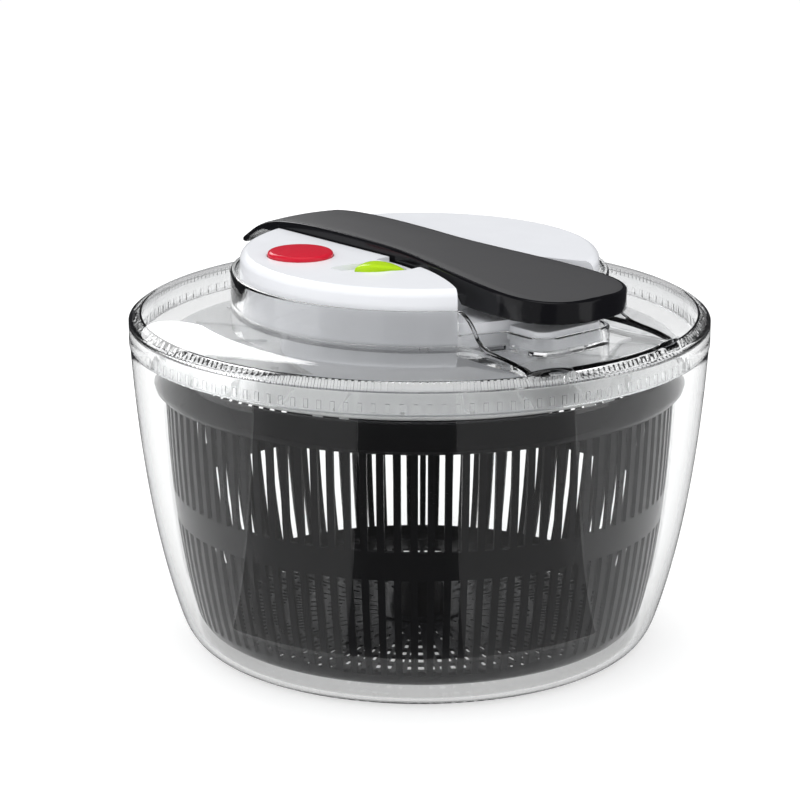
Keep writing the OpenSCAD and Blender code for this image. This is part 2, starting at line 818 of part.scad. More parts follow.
module brake_button() {
    z = cover_top + button_proud;
    color("crimson") translate([button_x, button_y, 0]) difference() {
        rotate_extrude() polygon([[0, z], [button_r - 2, z], [button_r - 0.7, z - 0.5], [button_r, z - 1.4],
            [button_r, 166.4], [button_r + 1.4, 166.4], [button_r + 1.4, 165], [0, 165]]);
        difference() {
            disc(button_r - 2, 164, z - 2.4);
            disc(6, 163, z);
        }
        disc(plunger_r, 160, z - 2.4);
    }
}

module brake_plunger() {
    color("white") translate([button_x, button_y, 0]) {
        disc(plunger_r, 135.5, cover_top + button_proud - 2.4);
        disc(2, 133.2, 135.5 + eps);
    }
}

module brake_pad() {
    color([0.2, 0.2, 0.2]) translate([button_x, button_y, 0]) difference() {
        disc(5, track_top + brake_travel + face_gap, 135.5);
        disc(2, 133.2, 136);
    }
}

module brake_spring() {
    color("silver") translate([button_x, button_y, 146]) coil(4.9, 0.5, 6, 19);
}

// ---------- lock slide ----------

module lock_slide() {
    color([0.62, 0.83, 0.1]) {
        difference() {
            on_slide(knob_s, 0, recess_floor + 0.2) lens(knob_len, knob_half, 4.4);
            on_slide(knob_s, 0, 0) slide_crown();
        }
        on_slide(2, -2.2, slide_z + slide_h - eps) cube([7, 4.4, recess_floor - slide_z - slide_h + 0.5]);
        on_slide(-7, -4.4, slide_z) cube([20, 8.8, slide_h]);
        on_slide(12, -3.4, slide_z) cube([9.2, 6.8, slide_h]);
    }
}

// Hollowed block above the knob that leaves its crown arched along and across
module slide_crown() {
    difference() {
        translate([-14, -10, 170]) cube([28, 20, 8]);
        translate([0, 0, 139.6]) rotate([90, 0, 0]) translate([0, 0, -12]) cylinder(r = 34, h = 24, $fn = 160);
    }
}

module slide_retainer() {
    color("silver") difference() {
        union() {
            on_slide(-18, -8, 163.9) cube([33, 16, 1.5]);
            for (side = [-1, 1]) on_slide(-12, side * 6.5 - 1.5, 165.3) cube([24, 3, recess_floor - 1.4 - 165.3]);
        }
        for (side = [-1, 1]) on_slide(-15.5, side * 6, 160) cylinder(r = 1, h = 10);
    }
}

module retainer_screws() {
    color("dimgray") for (side = [-1, 1]) on_slide(-15.5, side * 6, 163.9) {
        translate([0, 0, -1]) cylinder(r = 1.8, h = 1);
        cylinder(r = 0.9, h = 4.4);
    }
}

// ---------- assembly ----------

outer_bowl();
pivot_pin();
basket();
basket_bush();
drive_plate();
ratchet_cup();
output_shaft();
output_bush();
shaft_clip();
drive_screw();
drive_gear();
clutch_pawls();
counter_gear();
counter_pin();
counter_clip();
idler_gear();
gear_shaft();
bearing_bridge();
bridge_screws();
housing_base();
housing_cover();
housing_screws();
lid_shell();
handle_body();
handle_pad();
sector_gear();
sector_screws();
lever_pin();
lever_spring();
brake_button();
brake_plunger();
brake_pad();
brake_spring();
lock_slide();
slide_retainer();
retainer_screws();
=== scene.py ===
"""Looks for the salad spinner: fine meshes, plastic and steel materials, studio light and the camera."""

import json
import math

import bmesh
import bpy
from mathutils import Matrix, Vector


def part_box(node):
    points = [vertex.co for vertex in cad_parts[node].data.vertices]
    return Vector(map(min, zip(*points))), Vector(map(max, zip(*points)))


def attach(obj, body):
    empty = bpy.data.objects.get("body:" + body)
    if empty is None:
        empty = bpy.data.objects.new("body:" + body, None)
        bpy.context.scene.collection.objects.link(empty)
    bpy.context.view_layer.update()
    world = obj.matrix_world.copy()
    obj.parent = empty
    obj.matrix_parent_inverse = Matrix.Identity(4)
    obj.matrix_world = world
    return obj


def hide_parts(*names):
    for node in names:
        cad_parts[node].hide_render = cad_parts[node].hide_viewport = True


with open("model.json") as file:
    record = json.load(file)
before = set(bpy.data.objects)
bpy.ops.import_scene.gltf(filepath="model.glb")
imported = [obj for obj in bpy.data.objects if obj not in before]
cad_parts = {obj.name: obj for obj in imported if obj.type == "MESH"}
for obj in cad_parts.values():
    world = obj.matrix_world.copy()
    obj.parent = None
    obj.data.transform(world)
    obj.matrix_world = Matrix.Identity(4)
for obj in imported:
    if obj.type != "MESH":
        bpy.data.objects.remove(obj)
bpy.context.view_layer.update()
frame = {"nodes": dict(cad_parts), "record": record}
MM = 0.001


# ---------- sizes, in millimetres, read from the frame ----------

def corners(node):
    """The lowest and highest corner of a CAD node, in millimetres."""
    low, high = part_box(node)
    return low / MM, high / MM


bowl_high = corners("outer_bowl")[1]
basket_low, basket_high = corners("basket")
lid_low, lid_high = corners("lid_shell")
cover_low, cover_high = corners("housing_cover")
button_low, button_high = corners("brake_button")
slide_high = corners("lock_slide")[1]

RIM_R = bowl_high.x
RIM_Z = bowl_high.z
MOUTH_R = basket_high.x
MOUTH_Z = basket_high.z
COVER_R = -cover_low.x
COVER_TOP = cover_high.z
NOSE_X = cover_high.x
COLLAR_TOP = lid_high.z
SKIRT_Z = lid_low.z
BUTTON_X = (button_low.x + button_high.x) / 2
BUTTON_Y = (button_low.y + button_high.y) / 2


# ---------- mesh helpers ----------

def make_object(name, verts, faces, sharp=35):
    """A mesh object from points in millimetres, smooth but for edges sharper than an angle."""
    mesh = bpy.data.meshes.new(name)
    mesh.from_pydata([tuple(c * MM for c in v) for v in verts], [], faces)
    mesh.validate()
    grid = bmesh.new()
    grid.from_mesh(mesh)
    bmesh.ops.recalc_face_normals(grid, faces=grid.faces)
    grid.to_mesh(mesh)
    grid.free()
    mesh.shade_smooth()
    mesh.set_sharp_from_angle(angle=math.radians(sharp))
    obj = bpy.data.objects.new(name, mesh)
    bpy.context.scene.collection.objects.link(obj)
    return obj


def finish_piece(obj, body, slot, node):
    """Body, material slot and the CAD node that a piece stands for."""
    obj.data.materials.clear()
    obj.data.materials.append(MATERIALS[slot])
    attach(obj, body)
    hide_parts(node)


def ease(u):
    """Smooth step from 0 to 1."""
    u = min(1.0, max(0.0, u))
    return u * u * (3 - 2 * u)


def mix(a, b, w):
    """The value a share w of the way from a to b."""
    return a + (b - a) * w


def curve(a, b, c, t):
    """Point at t on the quadratic curve through a and c, drawn towards b."""
    return tuple((1 - t) ** 2 * p + 2 * t * (1 - t) * q + t * t * r for p, q, r in zip(a, b, c))


def curve_run(a, b, c, shift, count):
    """Points of that curve in a plane, shifted to the left of travel."""
    run = []
    for i in range(count + 1):
        t = i / count
        x, z = curve(a, b, c, t)
        dx, dz = ((1 - t) * (q - p) + t * (r - q) for p, q, r in zip(a, b, c))
        size = math.hypot(dx, dz)
        run.append((x - shift * dz / size, z + shift * dx / size))
    return run


def corner(cx, cz, r, a0, a1, count=5):
    """Points on an arc, angles in degrees."""
    angles = [math.radians(a0 + (a1 - a0) * i / count) for i in range(count + 1)]
    return [(cx + r * math.cos(a), cz + r * math.sin(a)) for a in angles]


def ring_faces(rows, columns, closed_rows=True):
    """Quads of a grid whose columns close on themselves."""
    faces = []
    for i in range(rows if closed_rows else rows - 1):
        for k in range(columns):
            a, b = i * columns, (i + 1) % rows * columns
            k2 = (k + 1) % columns
            faces.append((a + k, a + k2, b + k2, b + k))
    return faces


def lathe(profile, segments=160):
    """Points and faces of a solid of revolution from a closed outline of (radius, height)."""
    verts, rings = [], []
    for r, z in profile:
        start = len(verts)
        if r < 1e-6:
            verts.append((0, 0, z))
            rings.append([start] * segments)
            continue
        for k in range(segments):
            a = 2 * math.pi * k / segments
            verts.append((r * math.cos(a), r * math.sin(a), z))
        rings.append(list(range(start, start + segments)))
    faces = []
    for low, high in zip(rings, rings[1:] + rings[:1]):
        for k in range(segments):
            k2 = (k + 1) % segments
            face = list(dict.fromkeys((low[k], low[k2], high[k2], high[k])))
            if len(face) > 2:
                faces.append(tuple(face))
    return verts, faces


def joined(*parts):
    """Several (points, faces) pairs as one."""
    verts, faces = [], []
    for part_verts, part_faces in parts:
        shift = len(verts)
        verts += part_verts
        faces += [tuple(i + shift for i in f) for f in part_faces]
    return verts, faces


def block(x0, x1, y0, y1, z0, z1, turn=0.0):
    """A box, turned about the Z axis by an angle in radians."""
    c, s = math.cos(turn), math.sin(turn)
    verts = [(x * c - y * s, x * s + y * c, z) for z in (z0, z1)
             for x, y in ((x0, y0), (x1, y0), (x1, y1), (x0, y1))]
    faces = [(3, 2, 1, 0), (4, 5, 6, 7), (0, 1, 5, 4), (1, 2, 6, 5), (2, 3, 7, 6), (3, 0, 4, 7)]
    return verts, faces


def moved(part, x=0.0, y=0.0, turn=0.0):
    """A (points, faces) pair turned about the Z axis by radians, then moved level."""
    c, s = math.cos(turn), math.sin(turn)
    return [(px * c - py * s + x, px * s + py * c + y, pz) for px, py, pz in part[0]], part[1]


def loft(rings, closed=False):
    """Skin over rings of points; open rows of rings get a cap at each end."""
    count = len(rings[0])
    verts = [point for ring in rings for point in ring]
    faces = ring_faces(len(rings), count, closed)
    if not closed:
        faces += [tuple(reversed(range(count))), tuple(range(len(verts) - count, len(verts)))]
    return verts, faces


def prism(outline, z0, z1):
    """A straight solid over an outline in plan."""
    return loft([[(x, y, z) for x, y in outline] for z in (z0, z1)])


def apply_modifiers(target, sharp):
    """Bakes an object's modifiers into its mesh, smooth but for edges sharper than an angle."""
    graph = bpy.context.evaluated_depsgraph_get()
    mesh = bpy.data.meshes.new_from_object(target.evaluated_get(graph))
    target.modifiers.clear()
    target.data = mesh
    mesh.shade_smooth()
    mesh.set_sharp_from_angle(angle=math.radians(sharp))


def merge(target, tool, operation):
    """Adds (UNION), cuts (DIFFERENCE) or keeps the overlap (INTERSECT) of two solids; the second one goes."""
    modifier = target.modifiers.new("merge", "BOOLEAN")
    modifier.operation = operation
    modifier.solver = "MANIFOLD"
    modifier.object = tool
    apply_modifiers(target, 30)
    bpy.data.objects.remove(tool)


def combine(target, part, operation):
    """The same with a (points, faces) pair as the second solid."""
    merge(target, make_object("tool", *part), operation)


def soften(obj, width):
    """Rounds the sharp edges by a width in millimetres, and keeps the flat faces flat in shading."""
    bevel = obj.modifiers.new("bevel", "BEVEL")
    bevel.width = width * MM
    bevel.segments = 2
    bevel.limit_method = "ANGLE"
    bevel.angle_limit = math.radians(40)
    apply_modifiers(obj, 50)
    weighted = obj.modifiers.new("weighted", "WEIGHTED_NORMAL")
    weighted.keep_sharp = True


def between(points, x):
    """Straight-line value at x of a table of (x, value) in rising x."""
    if x <= points[0][0]:
        return points[0][1]
    for (x0, v0), (x1, v1) in zip(points, points[1:]):
        if x <= x1:
            return mix(v0, v1, (x - x0) / (x1 - x0))
    return points[-1][1]


def rounded_top(r_in, r_out, z0, z1, edge):
    """Outline of an upright tube wall whose top edges are rounded."""
    return [(r_in, z0), (r_out, z0)] + corner(r_out - edge, z1 - edge, edge, 0, 90, 5) \
        + corner(r_in + edge, z1 - edge, edge, 90, 180, 5)


# ---------- materials ----------

def new_material(name):
    """A material with its node tree and its main shader."""
    material = bpy.data.materials.new(name)
    material.use_nodes = True
    tree = material.node_tree
    return material, tree, tree.nodes["Principled BSDF"]


def noise(tree, scale, detail=3.0, rough=0.5, stretch=(1, 1, 1)):
    """Noise in object space; scale is in features per metre."""
    coords = tree.nodes.new("ShaderNodeTexCoord")
    mapping = tree.nodes.new("ShaderNodeMapping")
    mapping.inputs["Scale"].default_value = stretch
    texture = tree.nodes.new("ShaderNodeTexNoise")
    texture.inputs["Scale"].default_value = scale
    texture.inputs["Detail"].default_value = detail
    texture.inputs["Roughness"].default_value = rough
    tree.links.new(coords.outputs["Object"], mapping.inputs["Vector"])
    tree.links.new(mapping.outputs["Vector"], texture.inputs["Vector"])
    return texture.outputs["Fac"]


def spread(tree, value, low, high):
    """Maps a 0 to 1 value to a range."""
    node = tree.nodes.new("ShaderNodeMapRange")
    node.inputs["From Min"].default_value = 0.3
    node.inputs["From Max"].default_value = 0.7
    node.inputs["To Min"].default_value = low
    node.inputs["To Max"].default_value = high
    tree.links.new(value, node.inputs["Value"])
    return node.outputs["Result"]


def blend_colour(tree, value, dark, light):
    """A colour between two, by a 0 to 1 value."""
    node = tree.nodes.new("ShaderNodeMix")
    node.data_type = "RGBA"
    node.inputs["A"].default_value = (*dark, 1)
    node.inputs["B"].default_value = (*light, 1)
    tree.links.new(value, node.inputs["Factor"])
    return node.outputs["Result"]


def bump(tree, height, strength, distance):
    """Surface relief from a height; distance is in metres."""
    node = tree.nodes.new("ShaderNodeBump")
    node.inputs["Strength"].default_value = strength
    node.inputs["Distance"].default_value = distance
    tree.links.new(height, node.inputs["Height"])
    return node.outputs["Normal"]


def shade(colour, factor):
    """The colour made lighter or darker."""
    return tuple(c * factor for c in colour)


def plastic(name, colour, rough, grain, grain_depth, tone, specular=0.5, unevenness=0.15):
    """Moulded plastic: slight tone changes, uneven gloss and a fine moulded grain."""
    material, tree, bsdf = new_material(name)
    cloud = noise(tree, 22, 4)
    fine = noise(tree, grain, 2, 0.6)
    tree.links.new(blend_colour(tree, cloud, shade(colour, 1 - tone), shade(colour, 1 + tone)),
                   bsdf.inputs["Base Color"])
    tree.links.new(spread(tree, noise(tree, 60, 3), rough * (1 - unevenness), rough * (1 + unevenness)),
                   bsdf.inputs["Roughness"])
    tree.links.new(bump(tree, fine, 0.35, grain_depth), bsdf.inputs["Normal"])
    bsdf.inputs["Specular IOR Level"].default_value = specular
    bsdf.inputs["IOR"].default_value = 1.5
    return material


def clear_plastic(name, tint, rough=0.015, ripple=0.00003, clear=1.0):
    """Clear moulding: refracts, with faint flow ripples; lamps shine through it. Less clear is milkier."""
    material, tree, bsdf = new_material(name)
    bsdf.inputs["Transmission Weight"].default_value = clear
    bsdf.inputs["IOR"].default_value = 1.47
    tree.links.new(blend_colour(tree, noise(tree, 15, 2), shade(tint, 0.985), tint), bsdf.inputs["Base Color"])
    tree.links.new(spread(tree, noise(tree, 40, 3), rough * 0.6, rough * 1.6), bsdf.inputs["Roughness"])
    tree.links.new(bump(tree, noise(tree, 55, 2), 0.25, ripple), bsdf.inputs["Normal"])
    path = tree.nodes.new("ShaderNodeLightPath")
    through = tree.nodes.new("ShaderNodeBsdfTransparent")
    through.inputs["Color"].default_value = (*shade(tint, 0.985), 1)
    either = tree.nodes.new("ShaderNodeMixShader")
    tree.links.new(path.outputs["Is Shadow Ray"], either.inputs["Fac"])
    tree.links.new(bsdf.outputs["BSDF"], either.inputs[1])
    tree.links.new(through.outputs["BSDF"], either.inputs[2])
    tree.links.new(either.outputs["Shader"], tree.nodes["Material Output"].inputs["Surface"])
    return material


def steel(name):
    """Turned and drawn stainless steel with fine lines and small stains."""
    material, tree, bsdf = new_material(name)
    bsdf.inputs["Metallic"].default_value = 1.0
    lines = noise(tree, 700, 2, 0.6, (0.15, 0.15, 3.0))
    tree.links.new(blend_colour(tree, noise(tree, 80, 3), (0.5, 0.5, 0.51), (0.66, 0.66, 0.67)),
                   bsdf.inputs["Base Color"])
    tree.links.new(spread(tree, lines, 0.2, 0.36), bsdf.inputs["Roughness"])
    tree.links.new(bump(tree, lines, 0.3, 0.00002), bsdf.inputs["Normal"])
    return material


def rubber(name):
    """Silicone rubber: matt, with a light bloom."""
    material, tree, bsdf = new_material(name)
    tree.links.new(blend_colour(tree, noise(tree, 120, 4), (0.03, 0.03, 0.03), (0.07, 0.07, 0.07)),
                   bsdf.inputs["Base Color"])
    tree.links.new(spread(tree, noise(tree, 300, 3), 0.6, 0.8), bsdf.inputs["Roughness"])
    tree.links.new(bump(tree, noise(tree, 1500, 2), 0.4, 0.00003), bsdf.inputs["Normal"])
    return material


MATERIALS = {
    "clear_bowl": clear_plastic("bowl_clear", (0.99, 0.993, 0.992)),
    "clear_lid": clear_plastic("lid_clear", (0.995, 0.998, 1.0)),
    "clear_plate": clear_plastic("plate_clear", (0.95, 0.955, 0.955), 0.12, 0.00003, 0.5),
    "black_basket": plastic("basket_black", (0.005, 0.005, 0.006), 0.2, 500, 0.00003, 0.15, 0.11),
    "black_gloss": plastic("lever_gloss_black", (0.004, 0.004, 0.005), 0.14, 300, 0.00001, 0.1, 0.3),
    "black_matt": plastic("lever_matt_black", (0.06, 0.06, 0.062), 0.5, 2600, 0.00005, 0.05, 0.4, 0.03),
    "white_abs": plastic("cover_white", (0.79, 0.8, 0.83), 0.2, 700, 0.00001, 0.012, 0.3),
    "white_acetal": plastic("gear_white", (0.8, 0.8, 0.77), 0.42, 1200, 0.00002, 0.03),
    "amber_acetal": plastic("bush_amber", (0.62, 0.44, 0.14), 0.4, 1200, 0.00002, 0.06),
    "red_abs": plastic("button_red", (0.58, 0.011, 0.03), 0.18, 600, 0.00001, 0.06, 0.38),
    "green_abs": plastic("slide_green", (0.42, 0.66, 0.008), 0.22, 600, 0.00001, 0.06, 0.25),
    "steel": steel("steel"),
    "soft_rubber": rubber("pad_rubber"),
}


def dress_frame():
    """Gives every CAD node the material of its slot."""
    slots = {part["node"]: part["material_slot"] for part in frame["record"]["subparts"]}
    for node, obj in frame["nodes"].items():
        obj.data.materials.clear()
        obj.data.materials.append(MATERIALS[slots[node]])
        obj.data.shade_smooth()
        obj.data.set_sharp_from_angle(angle=math.radians(30))


dress_frame()


# ---------- bowl ----------

BOWL_WALL = 2.5
BOWL_FLOOR = 3.0


def bowl_outline():
    """Closed outline of the bowl, from the middle of its underside outwards."""
    heel_curve = (92, 0), (100.7, 0), (105, 13)
    wall_curve = (105, 13), (120, 58), (RIM_R - 0.5, RIM_Z - 10.6)
    outer, inner = (curve_run(*heel_curve, shift, 10) + curve_run(*wall_curve, shift, 40)[1:]
                    for shift in (0, BOWL_WALL))
    rim_in = RIM_R - BOWL_WALL
    rim = [(RIM_R - 0.5, RIM_Z - 9.6), (RIM_R - 0.1, RIM_Z - 9.1), (RIM_R, RIM_Z - 8.6), (RIM_R, RIM_Z - 0.7)]
    rim += corner(RIM_R - 0.6, RIM_Z - 0.6, 0.6, 0, 90, 4) + corner(rim_in + 0.6, RIM_Z - 0.6, 0.6, 90, 180, 4)
    floor = [(90.5, BOWL_FLOOR), (16, BOWL_FLOOR), (14.6, 3.6), (13.5, 5), (9, 6.2), (7, 7.6), (6.2, 13.4),
             (5.4, 14)]
    underside = [(0, 0.8), (82, 0.8), (84, 0.2), (86, 0)]
    inside = [p for p in reversed(inner) if p[1] > BOWL_FLOOR + 0.3]
    return underside + outer + rim + inside + floor + [(0, 14)]


bowl = make_object("bowl_shell", *lathe(bowl_outline(), 200))
finish_piece(bowl, "bowl", "clear_bowl", "outer_bowl")


# ---------- basket ----------

SLOTS = 100
SLOT_SHARE = 0.56
BASKET_WALL = 1.7
FLOOR_SKIN = 1.2
FLOOR_START, FLOOR_END = 18.0, 80.0
FLOOR_RING = 6.0
FLOOR_PITCH = 8.4
LOW_ROW = 14.5, 56.5
HIGH_ROW = 69.0, 110.5
BASKET_HEEL = (86, 7), (96.4, 7), (99, 17)
BASKET_SIDE = (99, 17), (108.2, 52), (110, 112.5)


def basket_stations():
    """Outer point, inner point and row of openings, from the hub out over the floor and up the wall."""
    stations = []
    ring = 0
    r = FLOOR_START
    while r < FLOOR_END:
        for edge, row in ((r, "ring%d" % ring), (r + FLOOR_RING, "")):
            stations.append(((edge, basket_low.z), (edge, basket_low.z + FLOOR_SKIN), row))
        r += FLOOR_PITCH
        ring += 1
    outside, inside = (curve_run(*BASKET_HEEL, shift, 8) + curve_run(*BASKET_SIDE, shift, 48)[1:]
                       for shift in (0, BASKET_WALL))
    for outer, inner in zip(outside, inside):
        z = outer[1]
        row = "low" if LOW_ROW[0] < z < LOW_ROW[1] else "high" if HIGH_ROW[0] < z < HIGH_ROW[1] else ""
        stations.append((outer, inner, row))
    lip = [((112.6, 113.4), (110.4, 115.4)), ((114.3, 115.2), (112.2, 116.8)), ((MOUTH_R, 118), (112.6, 118.8)),
           ((MOUTH_R, MOUTH_Z - 0.5), (112.6, MOUTH_Z - 0.5)), ((MOUTH_R - 0.5, MOUTH_Z), (113.1, MOUTH_Z))]
    stations += [(outer, inner, "") for outer, inner in lip]
    return stations


def is_open(row, k):
    """Whether column k, counted bar, slot, bar, slot, is open in a row."""
    if not row or k % 2 == 0:
        return False
    if row.startswith("ring"):
        ring = int(row[4:])
        return (k // 2) % (4 if ring < 2 else 2 if ring < 4 else 1) == 0
    return True


def basket_mesh():
    """Wall and floor with their openings, as one closed skin over the stations."""
    stations = basket_stations()
    columns = 2 * SLOTS
    pitch = 2 * math.pi / SLOTS
    angles = [(k // 2) * pitch + (0 if k % 2 == 0 else pitch * (1 - SLOT_SHARE)) for k in range(columns)]
    verts, faces = [], []
    for outer, inner, _ in stations:
        for r, z in (outer, inner):
            verts += [(r * math.cos(a), r * math.sin(a), z) for a in angles]

    def at(j, side, k):
        """Index of a point: station, outside (0) or inside (1), column."""
        return (2 * j + side) * columns + k % columns

    gaps = [[is_open(row, k) for k in range(columns)] for _, _, row in stations[:-1]]
    for j, row in enumerate(gaps):
        for k in range(columns):
            if row[k]:
                continue
            faces.append((at(j, 0, k), at(j, 0, k + 1), at(j + 1, 0, k + 1), at(j + 1, 0, k)))
            faces.append((at(j, 1, k), at(j + 1, 1, k), at(j + 1, 1, k + 1), at(j, 1, k + 1)))
            if row[(k + 1) % columns]:
                faces.append((at(j, 0, k + 1), at(j, 1, k + 1), at(j + 1, 1, k + 1), at(j + 1, 0, k + 1)))
            if row[k - 1]:
                faces.append((at(j, 1, k), at(j, 0, k), at(j + 1, 0, k), at(j + 1, 1, k)))
            if j == 0 or gaps[j - 1][k]:
                faces.append((at(j, 1, k), at(j, 1, k + 1), at(j, 0, k + 1), at(j, 0, k)))
            if j + 1 == len(gaps) or gaps[j + 1][k]:
                faces.append((at(j + 1, 0, k), at(j + 1, 0, k + 1), at(j + 1, 1, k + 1), at(j + 1, 1, k)))
    return verts, faces


def basket_hub():
    """The hollow boss in the basket's floor that stands over the pivot."""
    low = basket_low.z
    return lathe([(0, 22), (5.2, 22), (5.2, 15), (7.4, 14.6), (9.4, low), (18.6, low), (18.6, low + 2),
                  (13, low + 2), (9.6, 24.4), (9, 25.6), (8, 26.4), (0, 26.5)], 64)


def basket_lugs():
    """The six lugs inside the mouth that the drive plate's dogs push."""
    lugs = [block(109.4, 112.9, -3, 3, 117.5, 123.5, math.radians(60 * i)) for i in range(6)]
    return joined(*lugs)


basket = make_object("basket_shell", *joined(basket_mesh(), basket_hub(), basket_lugs()))
finish_piece(basket, "basket", "black_basket", "basket")


# ---------- lid ----------

LID_WALL = 2.2
LEDGE_Z = 145.0
LEDGE_TOP = 147.3
SKIRT_R = RIM_R - 2.9
SKIRT_IN = SKIRT_R - LID_WALL
COLLAR_GAP = 1.6
COLLAR_WALL = 2.6
NOSE_HALF = 17.8
NOSE_ROUND = 6.0
NOSE_COLLAR_TOP = 153.4
POCKET_FLOOR = 146.0
POCKET_HALF = 40.0
POCKET_R = 118.6
HUB_HOLE = 61.0
SCREW_TURNS = [40, 90, 140, -40, -90, -140]
SCREW_R = 69.0
NOSE_TURN = 29.9
LIP_TURNS = 10.6, 21.4
LIP_RISE = 2.6
FINE_RIBS, COARSE_RIBS = 280, 137
FIN_DROP = (71, COLLAR_TOP), (76.4, 161.6), (79.5, 156.3)
FIN_SWOOP = (79.5, 156.3), (83, 150.2), (93, 149.9)
FIN_START, FIN_END = 69, 112
ROOF_CURVE = (RIM_R - 0.2, RIM_Z + 1.4), (117, 150.6), (80, 149.6)
ROOF_STEPS = 30


def keyhole_radius(angle, grow):
    """Distance from the centre to the outline round the cover and its nose."""
    disc = COVER_R + grow
    half, reach, rounding = NOSE_HALF + grow, NOSE_X + grow, NOSE_ROUND + grow
    c, s = math.cos(angle), abs(math.sin(angle))
    if c < 0.5:
        return disc
    if s * reach <= c * (half - rounding):
        nose = reach / c
    elif half * c <= s * (reach - rounding):
        nose = half / s
    else:
        along = c * (reach - rounding) + s * (half - rounding)
        nose = along + math.sqrt(along ** 2 - (reach - rounding) ** 2 - (half - rounding) ** 2 + rounding ** 2)
    return max(disc, nose)


def keyhole_turns():
    """Angles round the keyhole, in degrees, close together where its outline turns."""
    turns = [0.0]
    while turns[-1] < 358:
        near = min(turns[-1], 360 - turns[-1])
        turns.append(turns[-1] + (0.4 if near < 18 else 0.6 if near < 32 else 2))
    return turns


def keyhole_point(turn, grow, z):
    """The point of the outline at an angle in degrees."""
    a = math.radians(turn)
    r = keyhole_radius(a, grow)
    return r * math.cos(a), r * math.sin(a), z


def keyhole_ring(grow, z):
    """The whole outline at one height."""
    return [keyhole_point(turn, grow, z) for turn in keyhole_turns()]


def collar():
    """The clear wall round the white cover, tall at the sides and low under the grip."""
    rings = []
    for turn in keyhole_turns():
        top = NOSE_COLLAR_TOP if min(turn, 360 - turn) < NOSE_TURN else COLLAR_TOP
        section = rounded_top(COLLAR_GAP, COLLAR_GAP + COLLAR_WALL, LEDGE_Z, top, 1.1)
        rings.append([keyhole_point(turn, grow, z) for grow, z in section])
    return loft(rings, closed=True)


def roof_profile():
    """Closed outline of the lid's roof and skirt."""
    outer, inner = (curve_run(*ROOF_CURVE, shift, ROOF_STEPS) for shift in (0, LID_WALL))
    bottom = corner(SKIRT_R - 0.7, SKIRT_Z + 0.7, 0.7, 0, -90, 4) \
        + corner(SKIRT_IN + 0.5, SKIRT_Z + 0.5, 0.5, -90, -180, 3)
    ceiling = [q for q in inner if q[0] < SKIRT_IN - 0.3]
    return [(RIM_R - 0.3, RIM_Z), (RIM_R, RIM_Z + 0.3), (RIM_R, RIM_Z + 1.0)] + outer \
        + ceiling[::-1] + [(SKIRT_IN, 144.5)] + bottom[::-1] + [(SKIRT_R, RIM_Z)]


def arc_points(r, a0, a1, count):
    """Points on an arc about the middle of the lid, angles in radians."""
    return corner(0, 0, r, math.degrees(a0), math.degrees(a1), count)


def pocket_cutter():
    """The room cleared above the floor of the finger pocket."""
    side = math.asin(POCKET_HALF / POCKET_R)
    outline = [(66, -POCKET_HALF)] + arc_points(POCKET_R, -side, side, 40) + [(66, POCKET_HALF)]
    return prism(outline, POCKET_FLOOR, 175)


def pocket_slab():
    """The floor of the finger pocket."""
    r_in, r_out = COVER_R + 2.5, POCKET_R + 0.8
    out_side, in_side = math.asin((POCKET_HALF + 0.5) / r_out), math.asin((POCKET_HALF + 0.5) / r_in)
    outline = arc_points(r_out, -out_side, out_side, 40) + arc_points(r_in, in_side, -in_side, 30)
    return prism(outline, POCKET_FLOOR - LID_WALL, POCKET_FLOOR)


def roof_height(r):
    """Height of the roof's outside at a radius."""
    return between(curve_run(*ROOF_CURVE, 0, ROOF_STEPS)[::-1], r)


def fin(side):
    """The curved wall at one side of the finger pocket, its top edge rounded; it caps the roof's cut edge."""
    swoop = curve_run(*FIN_DROP, 0, 14) + curve_run(*FIN_SWOOP, 0, 18)[1:]
    top = [q for q in swoop if q[0] < 84]
    for x in range(84, FIN_END + 2, 2):
        roof = roof_height(math.hypot(x, POCKET_HALF)) + 0.35
        top.append((x, max(between(swoop, x), roof) if x < swoop[-1][0] else roof))
    half = LID_WALL / 2
    rings = []
    for step in range(-6, 7):
        y = half * math.sin(math.radians(step * 15))
        drop = half * (1 - math.cos(math.radians(step * 15)))
        ring = [(FIN_START, POCKET_FLOOR - LID_WALL), (FIN_END, POCKET_FLOOR - LID_WALL)]
        ring += [(x, z - drop) for x, z in reversed(top)] + [(FIN_START, COLLAR_TOP - drop)]
        rings.append([(x, side * POCKET_HALF + y, z) for x, z in ring])
    return loft(rings)


def rim_bump(side):
    """The rounded lip that the lid's rim raises beside the finger pocket."""
    r0, r1 = POCKET_R + 0.3, RIM_R - 1.2
    rings = []
    for k in range(25):
        u = k / 24
        a = side * math.radians(mix(*LIP_TURNS, u))
        rise = LIP_RISE * math.sin(math.pi * u) ** 0.6 - 0.35
        top = []
        for i in range(11):
            r = mix(r0, r1, i / 10)
            top.append((r, roof_height(r) + rise * math.sin(math.pi * i / 10) ** 0.5))
        section = top + [(r, roof_height(r) - 1) for r in (r1, mix(r0, r1, 0.5), r0)]
        rings.append([(r * math.cos(a), r * math.sin(a), z) for r, z in section])
    return loft(rings)


def rib_ring(count, r0, r1, half, z0, z1):
    """Small upright ribs round the inside of the skirt."""
    rib = block(r0, r1, -half, half, z0, z1)
    return joined(*[moved(rib, turn=2 * math.pi * k / count) for k in range(count)])


